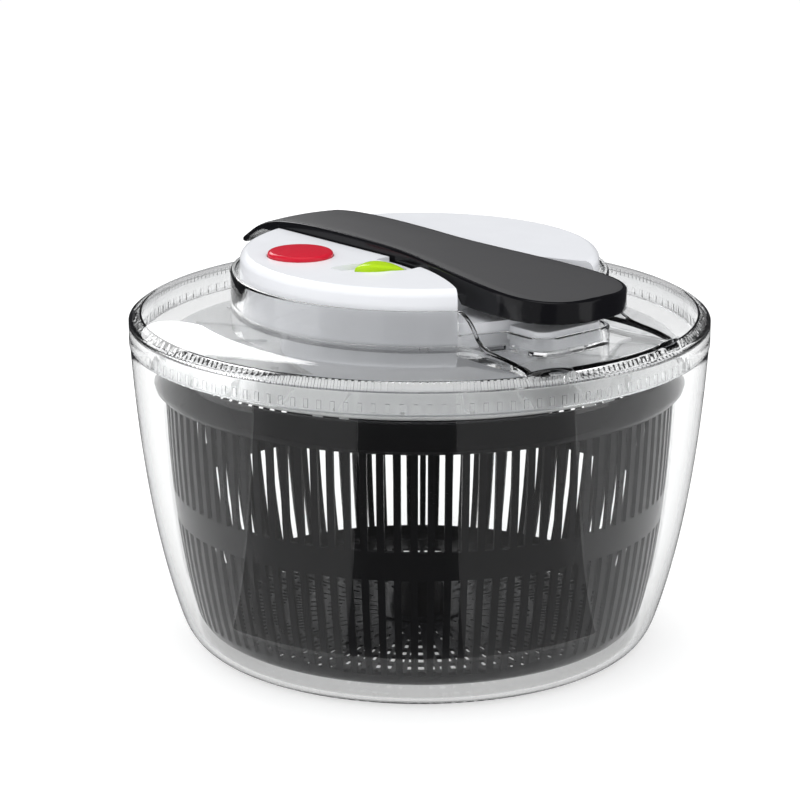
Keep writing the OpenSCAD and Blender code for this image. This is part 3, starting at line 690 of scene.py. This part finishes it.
def build_lid():
    """The clear lid in one piece: roof, skirt, collar, finger pocket, ledge, holes and ribs."""
    lid = make_object("lid_shell_fine", *lathe(roof_profile(), 240))
    ledge_edge = COLLAR_GAP + COLLAR_WALL - 0.4
    ledge = make_object("tool", *loft([keyhole_ring(ledge_edge, z) for z in (LEDGE_Z, LEDGE_TOP)]))
    combine(ledge, lathe([(0, 130), (HUB_HOLE, 130), (HUB_HOLE, 160), (0, 160)], 120), "DIFFERENCE")
    combine(lid, pocket_cutter(), "DIFFERENCE")
    for part in (pocket_slab(), collar(), fin(1), fin(-1)):
        combine(lid, part, "UNION")
    merge(lid, ledge, "UNION")
    for side in (1, -1):
        combine(lid, rim_bump(side), "UNION")
    combine(lid, block(40, 84, -11, 11, 130, 160), "DIFFERENCE")
    hole = lathe([(0, LEDGE_Z - 1), (2, LEDGE_Z - 1), (2, 150), (0, 150)], 24)
    holes = [moved(moved(hole, x=SCREW_R), turn=math.radians(t)) for t in SCREW_TURNS]
    combine(lid, joined(*holes), "DIFFERENCE")
    for ribs in (rib_ring(FINE_RIBS, SKIRT_IN - 0.7, SKIRT_IN + 0.6, 0.55, 140.6, 143.8),
                 rib_ring(COARSE_RIBS, SKIRT_IN - 0.6, SKIRT_IN + 0.6, 0.9, SKIRT_Z + 1.2, SKIRT_Z + 4.6)):
        combine(lid, ribs, "UNION")
    return lid


finish_piece(build_lid(), "lid", "clear_lid", "lid_shell")


# ---------- white cover ----------

COVER_Z = 149.3
COVER_WALL = 2.0
COVER_ROUND = 3.5
NOSE_TOP = 155.2
CHANNEL_HALF = 20.1
CHANNEL_FLOOR = 163.5
BAY_X = 50.0
BAY_FLOOR = 157.2
RECESS_FLOOR = 169.3
POST_TOP = 170.6
RECESS = 15.8, 8
KNOB_SLOT = 10.9, 5.7
KNOB_SLOT_X = 9.5
PIN_WALL_Y = 22.6
BUTTON_BORE = 14.35
ABOVE = 180
SLIDE_AT = (13.4, -40.4)
SLIDE_TURN = math.radians(51)


def channel_side(x):
    """Half width of the channel that the lever lies in."""
    table = [(-90, CHANNEL_HALF), (8, CHANNEL_HALF), (20, 21.8), (35, 24.6), (49, 29.5), (61, 35), (70, 40.5),
             (95, 40.5)]
    return sum(between(table, x + step) for step in range(-5, 6)) / 11


def channel_part(grow, x0, x1, z0, z1):
    """A stretch of the channel as a solid, wider by grow on each side."""
    count = max(2, int((x1 - x0) / 2))
    xs = [x0 + (x1 - x0) * i / count for i in range(count + 1)]
    outline = [(x, channel_side(x) + grow) for x in xs] + [(x, -channel_side(x) - grow) for x in reversed(xs)]
    return prism(outline, z0, z1)


def on_slide(part):
    """Places a part drawn along the lock slide's line."""
    return moved(part, *SLIDE_AT, SLIDE_TURN)


def lens_outline(length, half, count=24):
    """Outline of a lens shape between two arcs, pointed at both ends."""
    r = (length ** 2 + half ** 2) / (2 * half)
    reach = math.asin(length / r)
    angles = [reach - 2 * reach * i / count for i in range(count)]
    upper = [(r * math.sin(a), half - r + r * math.cos(a)) for a in angles]
    return upper + [(-x, -y) for x, y in upper]


def cover_dome(inset):
    """The cover's rounded upper edge drawn in by an inset, its radius and its top."""
    r, top, rounding = COVER_R - inset, COVER_TOP - inset, COVER_ROUND - inset / 2
    return corner(r - rounding, top - rounding, rounding, 0, 90, 10), r, top


def nose_ring(grow, x_start, z):
    """Outline of the nose under the grip at one height."""
    half, reach, rounding = NOSE_HALF + grow, NOSE_X + grow, NOSE_ROUND + grow
    outline = [(x_start, -half)] + corner(reach - rounding, rounding - half, rounding, -90, 0, 10) \
        + corner(reach - rounding, half - rounding, rounding, 0, 90, 10) + [(x_start, half)]
    return [(x, y, z) for x, y in outline]


def tube(r_in, r_out, z0, z1):
    """An upright tube."""
    return lathe([(r_in, z0), (r_out, z0), (r_out, z1), (r_in, z1)], 48)


def build_cover():
    """The white cover: domed shell, walls of the channel, recess and button, the nose, and the openings."""
    outer_arc, outer_r, outer_top = cover_dome(0)
    inner_arc, inner_r, inner_top = cover_dome(COVER_WALL)
    shell = [(inner_r, COVER_Z), (outer_r, COVER_Z)] + outer_arc \
        + [(0, outer_top), (0, inner_top)] + inner_arc[::-1]
    cover = make_object("cover_fine", *lathe(shell, 220))
    inside_arc, inside_r, inside_top = cover_dome(0.6)
    inside = make_object("tool", *channel_part(2, -80, BAY_X, CHANNEL_FLOOR - 2, COVER_TOP))
    parts = [channel_part(2, BAY_X - 2, 80, BAY_FLOOR - 2, COVER_TOP),
             on_slide(block(-17.8, 13.8, -10, 10, RECESS_FLOOR - 1.4, RECESS_FLOOR + 1.6)),
             moved(tube(13, 16.2, 166.5, POST_TOP), BUTTON_X, BUTTON_Y)]
    parts += [block(-76, -64, y - 2.5, y + 2.5, 158.5, COVER_TOP) for y in (-PIN_WALL_Y, PIN_WALL_Y)]
    screw_post = moved(tube(1.3, 3.4, COVER_Z, POST_TOP), x=SCREW_R)
    parts += [moved(screw_post, turn=math.radians(t)) for t in SCREW_TURNS]
    for part in parts:
        combine(inside, part, "UNION")
    room = [(0, COVER_Z - 1), (inside_r, COVER_Z - 1)] + inside_arc + [(0, inside_top)]
    combine(inside, lathe(room, 220), "INTERSECT")
    nose = make_object("tool", *loft([nose_ring(0, 76.8, LEDGE_TOP + 0.1), nose_ring(0, 76.8, COVER_Z),
                                      nose_ring(0, 75.6, COVER_Z + 0.01), nose_ring(0, 75.6, NOSE_TOP - 1),
                                      nose_ring(-0.3, 75.6, NOSE_TOP - 0.3), nose_ring(-1, 75.6, NOSE_TOP)]))
    hollow = loft([nose_ring(-COVER_WALL, 78.6, z) for z in (LEDGE_TOP - 1, NOSE_TOP - COVER_WALL)])
    combine(nose, hollow, "DIFFERENCE")
    merge(cover, inside, "UNION")
    merge(cover, nose, "UNION")
    button_bore = lathe([(0, 160), (BUTTON_BORE, 160), (BUTTON_BORE, ABOVE), (0, ABOVE)], 96)
    cuts = [channel_part(0, -90, BAY_X, CHANNEL_FLOOR, 190), channel_part(0, BAY_X - 0.01, 95, BAY_FLOOR, 190),
            block(-66, -22, -4, 4, 150, 170),
            block(-90, -63, -CHANNEL_HALF, CHANNEL_HALF, CHANNEL_FLOOR - 4, ABOVE),
            on_slide(prism(lens_outline(*RECESS), RECESS_FLOOR, ABOVE)),
            on_slide(prism([(x + KNOB_SLOT_X, y) for x, y in lens_outline(*KNOB_SLOT)], RECESS_FLOOR, ABOVE)),
            on_slide(block(5, KNOB_SLOT_X, -KNOB_SLOT[1], KNOB_SLOT[1], RECESS_FLOOR, ABOVE)),
            block(3.4, 26.4, -27.4, -19.4, RECESS_FLOOR, ABOVE),
            on_slide(block(-9, 14.5, -2.6, 2.6, RECESS_FLOOR - 3, ABOVE)),
            on_slide(block(10, 34, -4, 4, 165.2, 168.2)),
            moved(button_bore, BUTTON_X, BUTTON_Y)]
    for part in cuts:
        combine(cover, part, "DIFFERENCE")
    soften(cover, 0.45)
    return cover


finish_piece(build_cover(), "lid", "white_abs", "housing_cover")


# ---------- lever ----------

LEVER_HALF = 18.5
GRIP_HALF = 28.6
GRIP_X = 110.0
GRIP_FULL = 85.0
GRIP_ROUND = 80.0
TAIL_X = 100.9
TAIL_ROUND = 2.5
PIVOT_X = -70.0
PIVOT_Z = 165.0
PAD_INSET = 1.2
PAD_DEPTH = 1.4
CROWN = 0.8
TIP_EDGE = 1.3
LEVER_WALL = 2.2
LEVER_SKIN = 3.8
PAD_START = -84.9
PIN_BAY = -80.05, -61.5
PIN_BAY_HALF = 8.6
PIN_BAY_TOP = 170.6
LOCK_NOTCH = 20, 38, -24, -15.8, 165.4, 169.8
SECTOR_SCREW = -54, 5.5


def lever_side(x, inset=0.0):
    """Half width of the lever at x, or of its outline drawn in all round."""
    middle = (GRIP_X - TAIL_X) / 2
    x = middle + (x - middle) * (GRIP_X + TAIL_X) / (GRIP_X + TAIL_X - 2 * inset)
    plain = LEVER_HALF + (GRIP_HALF - LEVER_HALF) * ease(x / GRIP_FULL)
    u = min(1.0, max(0.0, (x - GRIP_ROUND) / (GRIP_X - GRIP_ROUND)))
    v = min(1.0, max(0.0, (TAIL_ROUND - TAIL_X - x) / TAIL_ROUND))
    return max(0.0, plain * (1 - u ** 2.6) ** (1 / 2.6) - TAIL_ROUND * (1 - math.sqrt(1 - v * v)) - inset)


def lever_arch():
    """The top of the lever from its tail to its tip, as (x, z)."""
    points = curve_run((-TAIL_X, 161.5), (-89, 174), (PIVOT_X, 175.3), 0, 40)
    for i in range(1, 81):
        t = i / 80
        s = 1 - t
        points.append(tuple(s ** 3 * a + 3 * s * s * t * b + 3 * s * t * t * c + t ** 3 * d
                            for a, b, c, d in zip((PIVOT_X, 175.3), (-45, 178), (10, 176.4), (GRIP_X, 170.3))))
    return points


ARCH = lever_arch()
UNDERSIDE = [(-TAIL_X, 161.2), (-97.6, 160.8), (-94, 164), (-90, 166.6), (-85.5, 168.5), (-76.4, 168.5),
             (-75.5, 164), (52, 164), (55, 161), (GRIP_X + 1, 161)]


def tip_drop(x, edge):
    """How far the top falls where it rounds over at the tip of the grip."""
    left = max(0.0, min(edge, GRIP_X - x))
    return edge - math.sqrt(edge ** 2 - (edge - left) ** 2)


def top_height(x, y, half):
    """Height of the lever's slightly crowned top at x and y."""
    return between(ARCH, x) - CROWN * (y / max(half, 1.0)) ** 2 * min(1.0, half / 10, (x + TAIL_X) / 6)


def body_section(x):
    """Closed ring across the lever: outside, recess for the pad, and the hollow below."""
    half = max(lever_side(x), 0.6)
    low = between(UNDERSIDE, x)
    thick = between(ARCH, x) - low
    edge = min(TIP_EDGE, half * 0.4, thick * 0.3)
    fall = tip_drop(x, TIP_EDGE)
    inner = lever_side(x, PAD_INSET) if PAD_START < x < GRIP_X - PAD_INSET else 0.0
    depth = PAD_DEPTH if inner > 0.5 else 0.0
    inner = max(inner, min(0.3, half * 0.3))
    edge = min(edge, half - inner, PAD_INSET)
    side_top = top_height(x, half, half) - fall
    foot = min(0.3, thick * 0.2)
    right = [(half - foot, low), (half, low + foot), (half, mix(low, side_top, 0.5)), (half, side_top - edge)]
    right += [(half - edge + edge * math.cos(a), side_top - edge + edge * math.sin(a))
              for a in map(math.radians, (22, 45, 67, 90))]
    right += [(inner, top_height(x, inner, half) - fall + 0.02)]
    right += [(inner * k / 4, top_height(x, inner * k / 4, half) - fall - depth) for k in (4, 3, 2, 1)]
    if x < PIN_BAY[0]:
        hollow, ceiling = min(PIN_BAY_HALF, half * 0.5), low + 0.02
    elif x < PIN_BAY[1]:
        hollow, ceiling = PIN_BAY_HALF, PIN_BAY_TOP
    else:
        hollow, ceiling = lever_side(x, LEVER_WALL), top_height(x, 0, half) - LEVER_SKIN
        if hollow < 2.5:
            hollow, ceiling = min(2.0, half * 0.5), low + 0.02
    under = [(hollow, low), (hollow, mix(low, ceiling, 0.9)), (hollow * 0.96, ceiling), (hollow * 0.5, ceiling)]
    left = [(-y, z) for y, z in right]
    ring = left + [(0, top_height(x, 0, half) - fall - depth)] + right[::-1]
    ring += under + [(0, ceiling)] + [(-y, z) for y, z in under[::-1]]
    return [(x, y, z) for y, z in ring]


def pad_section(x, half, depth, fall):
    """Closed ring across the inlay in the lever's top."""
    side = lever_side(x)
    edge = min(0.4, half * 0.4)
    top = top_height(x, half, side)
    right = [(half, top - depth), (half, top - edge), (half - edge * 0.3, top - edge * 0.3), (half - edge, top)]
    right += [(half * k / 5, top_height(x, half * k / 5, side)) for k in (4, 3, 2, 1)]
    ring = [(-y, z) for y, z in right] + [(0, top_height(x, 0, side))] + right[::-1]
    ring += [(half * k / 5, top_height(x, half * k / 5, side) - depth) for k in range(4, -5, -1)]
    return [(x, y, max(top - depth - 1, z - fall)) for y, z in ring]


def lever_stations():
    """Places along the lever where its sections stand, closest where it turns or steps."""
    xs = [-TAIL_X + TAIL_ROUND * (1 - math.cos(math.radians(i * 15))) for i in range(7)]
    xs += [-97.6 + i for i in range(13)]
    xs += [-84.95, -84.85, -84, -82, -80.1, -80, -78, -76.4, -75.5, -72, -68, -64, -61.6, -61.4]
    xs += [-58 + 4 * i for i in range(28)] + [52, 53, 54, 55] + [58 + 2 * i for i in range(13)]
    xs += [84 + (GRIP_X - 84) * math.sin(math.radians(i * 3)) for i in range(30)]
    tip = [GRIP_X - 2.2 - 0.2 * i for i in range(11)] + [GRIP_X - 0.12, GRIP_X - 0.06, GRIP_X - 0.02]
    xs = sorted({round(x, 3) for x in xs + tip})
    return [x for i, x in enumerate(xs) if i == 0 or x - xs[i - 1] > 0.015]


def pivot_boss(side):
    """Boss round the lever's hinge pin, inside the channel."""
    ring = corner(PIVOT_X, PIVOT_Z, 5, 0, 352, 44)
    return loft([[(x, y, z) for x, z in ring] for y in (side * 9.0, side * 17.8)])


def build_lever():
    """The glossy lever with its lock notch, pin bosses and screw posts, and the matt inlay in its top."""
    body = loft([body_section(x) for x in lever_stations()])
    post = lathe([(1.1, 168), (3, 168), (3, 173), (1.1, 173)], 32)
    posts = [moved(post, SECTOR_SCREW[0], side * SECTOR_SCREW[1]) for side in (-1, 1)]
    lever = make_object("lever_body", *body)
    combine(lever, block(*LOCK_NOTCH), "DIFFERENCE")
    combine(lever, joined(pivot_boss(1), pivot_boss(-1), *posts), "UNION")
    finish_piece(lever, "lever", "black_gloss", "handle_body")
    pad_end = GRIP_X - PAD_INSET - 0.05
    xs = [x for x in lever_stations() if PAD_START + 0.1 < x < pad_end] + [pad_end - 0.01]
    rings = [pad_section(x, lever_side(x, PAD_INSET + 0.06), PAD_DEPTH - 0.03, tip_drop(x, TIP_EDGE))
             for x in sorted(set(xs))]
    pad = make_object("lever_pad", *loft(rings))
    finish_piece(pad, "lever", "black_matt", "handle_pad")


build_lever()


# ---------- button, slide and drive plate ----------

def build_button():
    """The red cap: a flange that holds it under the cover, and a hollow with a ring over the spring."""
    flange, edge, skin = 1.4, 1.5, 2.4
    r, z = (button_high.x - button_low.x) / 2 - flange, button_high.z
    outline = [(0, z)] + corner(r - edge, z - edge, edge, 90, 0, 8) \
        + [(r, 166.4), (r + flange, 166.4), (r + flange, 165), (r - 2, 165), (r - 2, z - skin),
           (6, z - skin), (6, 167.1), (4, 167.1), (4, z - skin), (0, z - skin)]
    button = make_object("button_fine", *moved(lathe(outline, 120), BUTTON_X, BUTTON_Y))
    finish_piece(button, "brake", "red_abs", "brake_button")


def knob():
    """The lime finger piece: a lens in plan, arched along its length, with a rounded edge."""
    peak, centre = -3, 5

    def crown(s):
        """Height of the arch at a distance along the knob; it falls faster behind its peak."""
        return slide_high.z - (s - peak) ** 2 * (0.0146 if s > peak else 0.03)

    outline = lens_outline(10.6, 5.4, 32)
    rings = [[(x + centre, y, RECESS_FLOOR + 0.2) for x, y in outline]]
    for scale, drop in ((1.0, 1.5), (0.99, 1.0), (0.965, 0.6), (0.92, 0.3), (0.85, 0.12), (0.7, 0.03),
                        (0.5, 0), (0.3, 0), (0.1, 0)):
        rings.append([(x * scale + centre, y * scale, crown(x * scale) - drop) for x, y in outline])
    return loft(rings)


def build_slide():
    """The lock slide: knob, stem through the recess, plate under it and the bolt that enters the lever."""
    stem = block(2, 9, -2.2, 2.2, 167.5, RECESS_FLOOR + 0.5)
    plate = block(-7, 13, -4.4, 4.4, 165.8, 167.6)
    bolt = block(12, 21.2, -3.4, 3.4, 165.8, 167.6)
    slide = make_object("slide_fine", *on_slide(joined(knob(), stem, plate, bolt)))
    finish_piece(slide, "lock", "green_abs", "lock_slide")


def build_plate():
    """The clear drive plate: brake track, hub, 24 ribs and the dogs that reach between the basket's lugs."""
    base, top, track = 127.3, 129.0, 129.8
    outline = [(3, base), (111.8, base)] + corner(112.2, base + 0.8, 0.8, -60, 0, 4) \
        + corner(112.5, top - 0.5, 0.5, 0, 90, 4)
    outline += [(59, top), (59, track - 0.2), (58.8, track), (46.2, track), (46, track - 0.2), (46, top),
                (9, top), (8, track), (3, track)]
    plate = make_object("plate_fine", *lathe(outline, 240))
    ribs = [moved(block(66, 104, -0.8, 0.8, top - 0.4, track), turn=math.radians(15 * i)) for i in range(24)]
    dogs = [moved(block(108, 111.4, -1.5, 1.5, 120, base + 0.3), turn=math.radians(60 * i + side * 2.9))
            for i in range(6) for side in (-1, 1)]
    combine(plate, joined(*ribs), "UNION")
    combine(plate, joined(*dogs), "UNION")
    finish_piece(plate, "drive", "clear_plate", "drive_plate")


build_button()
build_slide()
build_plate()


# ---------- room, light and camera ----------

AZIMUTH = math.radians(49)
RIGHT = Vector((math.cos(AZIMUTH), math.sin(AZIMUTH), 0))
AWAY = Vector((math.sin(AZIMUTH), -math.cos(AZIMUTH), 0))
FLOOR_R = 1500
CARD_TOP = 1800
TENT_R = 4200
DISTANCE = 1200.0
CAMERA_Z = 442.6
CAMERA_LEFT = 8.4
PITCH = 0.275
LENS = 129.015


def around(turn, distance, height):
    """A place round the part; the turn is in degrees to the right of the camera's side."""
    t = math.radians(turn)
    return (RIGHT * math.sin(t) + AWAY * math.cos(t)) * distance + Vector((0, 0, height))


def build_floor():
    """A pale disc that reaches well past the part, with a faint glow that keeps it even."""
    floor = make_object("stage_floor", *lathe([(0, -0.05), (FLOOR_R, -0.05), (FLOOR_R, -4), (0, -4)], 96))
    material, _, bsdf = new_material("stage_floor")
    bsdf.inputs["Base Color"].default_value = (0.6, 0.6, 0.6, 1)
    bsdf.inputs["Emission Color"].default_value = (1, 1, 1, 1)
    bsdf.inputs["Emission Strength"].default_value = 0.5
    bsdf.inputs["Roughness"].default_value = 0.9
    bsdf.inputs["Specular IOR Level"].default_value = 0.1
    floor.data.materials.append(material)
    floor.visible_glossy = False


def soft_light(name, place, target, width, height, power):
    """A rectangular softbox; place and target in millimetres."""
    light = bpy.data.lights.new(name, "AREA")
    light.shape = "RECTANGLE"
    light.size, light.size_y = width * MM, height * MM
    light.energy = power
    obj = bpy.data.objects.new(name, light)
    bpy.context.scene.collection.objects.link(obj)
    obj.location = Vector(place) * MM
    obj.rotation_euler = (Vector(place) - Vector(target)).to_track_quat("Z", "Y").to_euler()


def glow_material(name, colour, strength):
    """A material that only glows."""
    material = bpy.data.materials.new(name)
    material.use_nodes = True
    tree = material.node_tree
    tree.nodes.remove(tree.nodes["Principled BSDF"])
    glow = tree.nodes.new("ShaderNodeEmission")
    glow.inputs["Color"].default_value = (*colour, 1)
    glow.inputs["Strength"].default_value = strength
    tree.links.new(glow.outputs["Emission"], tree.nodes["Material Output"].inputs["Surface"])
    return material


def build_backdrop():
    """A white tent around the set; polished surfaces mirror the softboxes and not the tent."""
    outline = corner(0, 0, TENT_R, -90, 90, 24) + corner(0, 0, TENT_R + 100, 90, -90, 24)
    tent = make_object("stage_tent", *lathe([(max(r, 0), z) for r, z in outline], 96))
    tent.data.materials.append(glow_material("stage_tent", (0.99, 0.995, 1.0), 1.02))
    tent.visible_glossy = False
    tent.visible_shadow = False


def build_card(name, first_turn, last_turn, strength):
    """A grey flat that stands on the floor in front: the black basket and the clear rim mirror it."""
    near, far = RIM_R + 1, FLOOR_R + 2
    outline = ((near, 1), (FLOOR_R, 1), (FLOOR_R, CARD_TOP), (far, CARD_TOP), (far, 0), (near, 0))
    rings = [[tuple(around(mix(first_turn, last_turn, i / 12), r, z)) for r, z in outline] for i in range(13)]
    card = make_object(name, *loft(rings))
    card.data.materials.append(glow_material(name, (1, 1, 1), strength))
    card.visible_camera = card.visible_diffuse = card.visible_shadow = False


def build_light():
    """A dim world and four softboxes."""
    world = bpy.data.worlds.new("studio")
    world.use_nodes = True
    world.node_tree.nodes["Background"].inputs["Color"].default_value = (0.05, 0.05, 0.055, 1)
    world.node_tree.nodes["Background"].inputs["Strength"].default_value = 1.0
    bpy.context.scene.world = world
    middle = (0, 0, 90)
    soft_light("light_left", around(-62, 1900, 350), middle, 2600, 2000, 14)
    soft_light("light_right", around(52, 1900, 350), middle, 1900, 2000, 10)
    soft_light("light_top", (0, 0, 1700), middle, 1300, 1300, 5)
    soft_light("light_back", around(205, 1500, 900), (0, 0, 150), 900, 500, 5)


def build_camera():
    """Grip towards the right and front, seen from a little above."""
    camera = bpy.data.cameras.new("camera")
    camera.sensor_width = 36
    camera.lens = LENS
    camera.clip_start, camera.clip_end = 0.05, 20
    obj = bpy.data.objects.new("camera", camera)
    bpy.context.scene.collection.objects.link(obj)
    obj.location = (AWAY * DISTANCE - RIGHT * CAMERA_LEFT + Vector((0, 0, CAMERA_Z))) * MM
    look = AWAY * -math.cos(PITCH) + Vector((0, 0, -math.sin(PITCH)))
    obj.rotation_euler = look.to_track_quat("-Z", "Y").to_euler()
    bpy.context.scene.camera = obj


build_floor()
build_backdrop()
build_card("stage_card_middle", -21, 12, 0.07)
build_card("stage_card_left", -60, -21.2, 0.36)
build_card("stage_card_right", 12.2, 55, 0.3)
build_light()
build_camera()
bpy.context.scene.view_settings.view_transform = "Standard"
paths = bpy.context.scene.cycles
paths.max_bounces = paths.transparent_max_bounces = 24
paths.transmission_bounces = 20
paths.glossy_bounces = 8
paths.diffuse_bounces = 4
